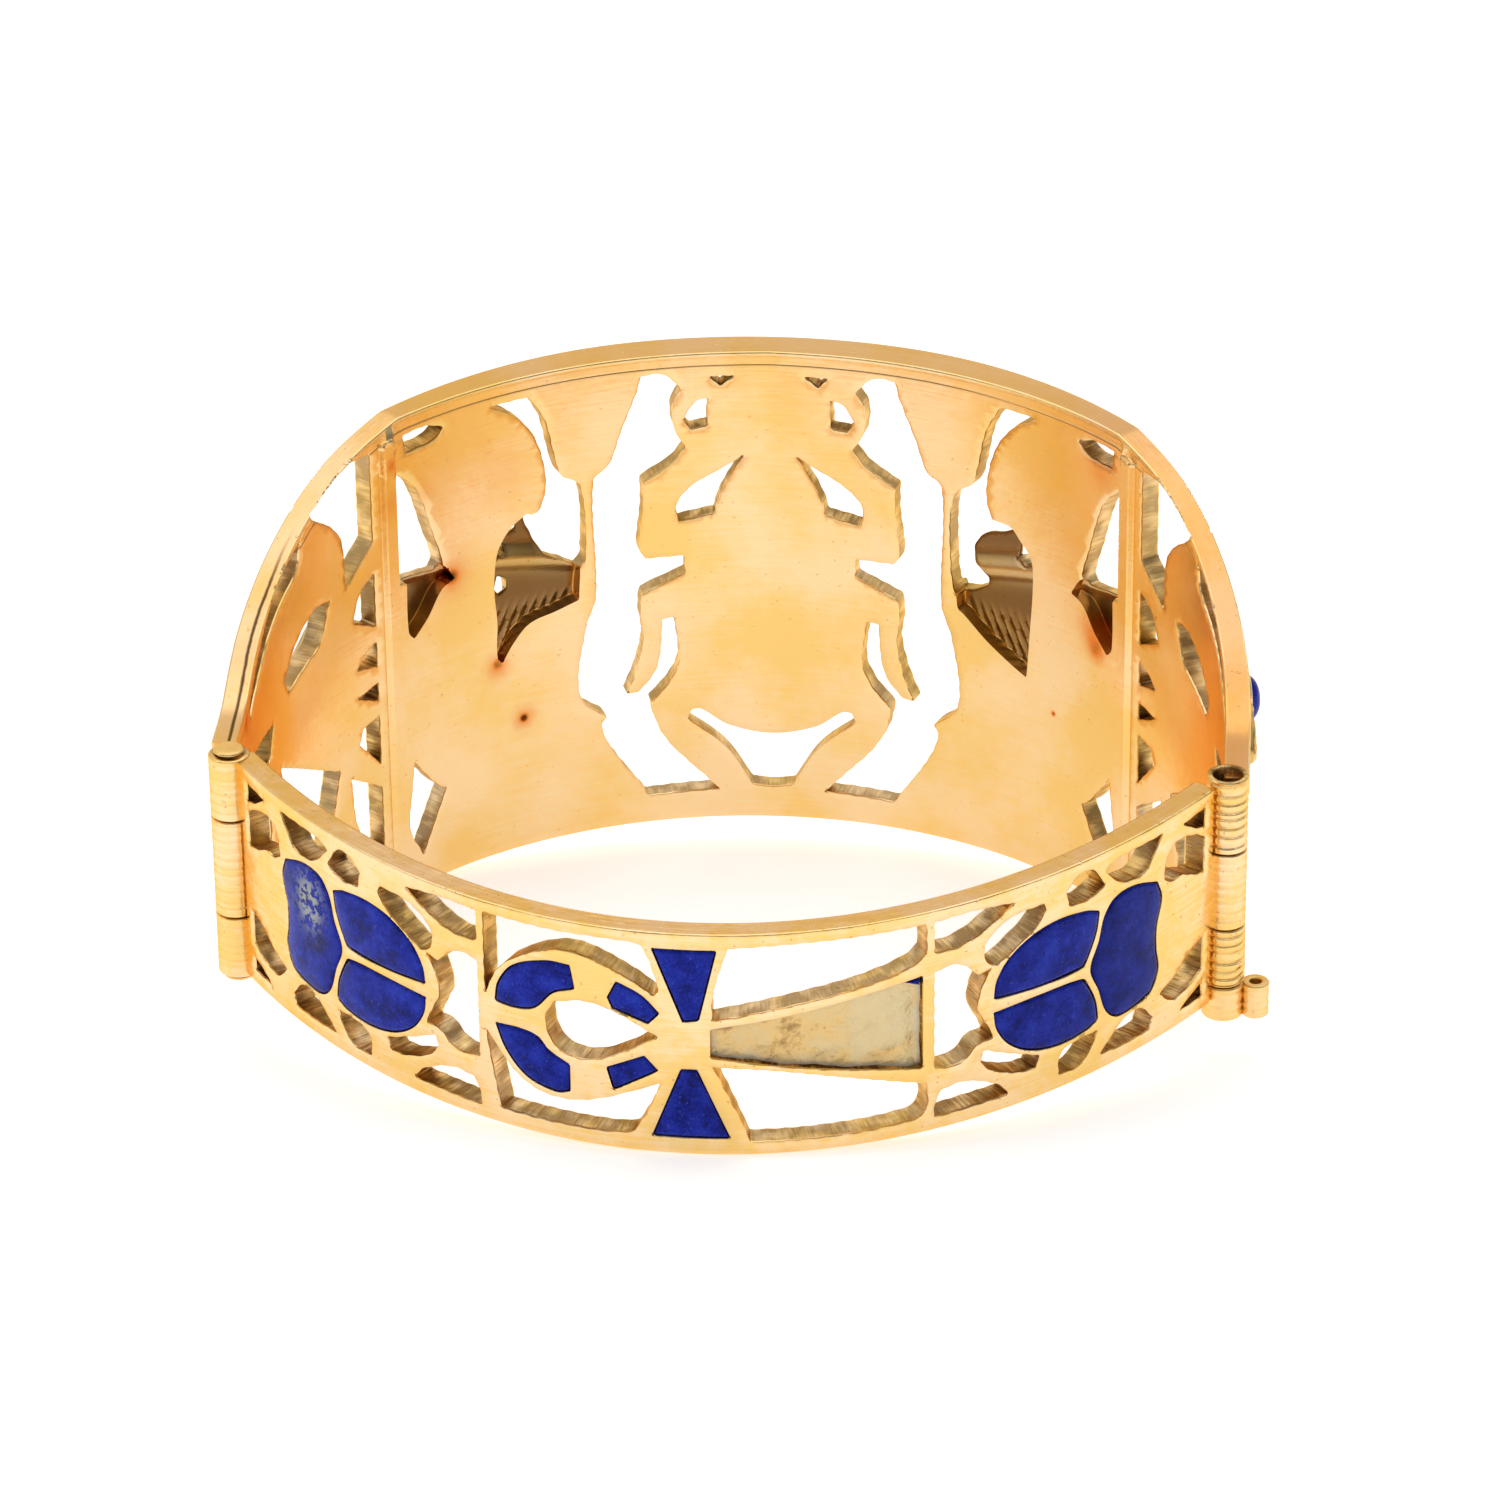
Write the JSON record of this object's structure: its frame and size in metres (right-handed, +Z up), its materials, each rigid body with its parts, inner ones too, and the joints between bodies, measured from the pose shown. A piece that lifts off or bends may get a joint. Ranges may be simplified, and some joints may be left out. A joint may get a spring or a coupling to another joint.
{
  "type": "bangle",
  "caption": "Hinged wrist bangle of pierced gold with inlaid blue stones, a tall front half and a narrow back half, closed by a draw-out pin.",
  "frame": {"origin": "middle of the box round the resting bangle, at table height", "axes": "+Z up from the table, +Y from the narrow back half towards the tall front half, +X along the line through hinge and clasp, towards the clasp"},
  "size_m": [0.0624, 0.0618, 0.0345],
  "materials": {
    "gold": "polished yellow gold, hammered and hand-filed",
    "lapis": "polished lapis lazuli"
  },
  "bodies": {
    "front_half": {"front_band": "gold", "hinge_pin": "gold", "front_pronotum": "lapis", "front_elytron_left": "lapis", "front_elytron_right": "lapis", "front_cabochon_left": "lapis", "front_cabochon_right": "lapis"},
    "back_half": {"back_band": "gold", "ankh_loop_1": "lapis", "ankh_loop_2": "lapis", "ankh_loop_3": "lapis", "ankh_loop_4": "lapis", "ankh_arm_upper": "lapis", "ankh_arm_lower": "lapis", "ankh_stem_chip": "lapis", "back_left_pronotum": "lapis", "back_left_elytron_upper": "lapis", "back_left_elytron_lower": "lapis", "back_right_pronotum": "lapis", "back_right_elytron_upper": "lapis", "back_right_elytron_lower": "lapis"},
    "clasp_pin": {"clasp_pin": "gold"}
  },
  "joints": [
    {"name": "hinge", "type": "hinge", "parent": "front_half", "child": "back_half", "pos_m": [-0.02923, -0.01044, 0.01082], "axis": [0, 0.1984, -0.9801], "range_deg": [0, 100]},
    {"name": "clasp_pin_draw", "type": "slide", "parent": "front_half", "child": "clasp_pin", "axis": [0, 0.1984, -0.9801], "range_m": [0, 0.014]}
  ]
}
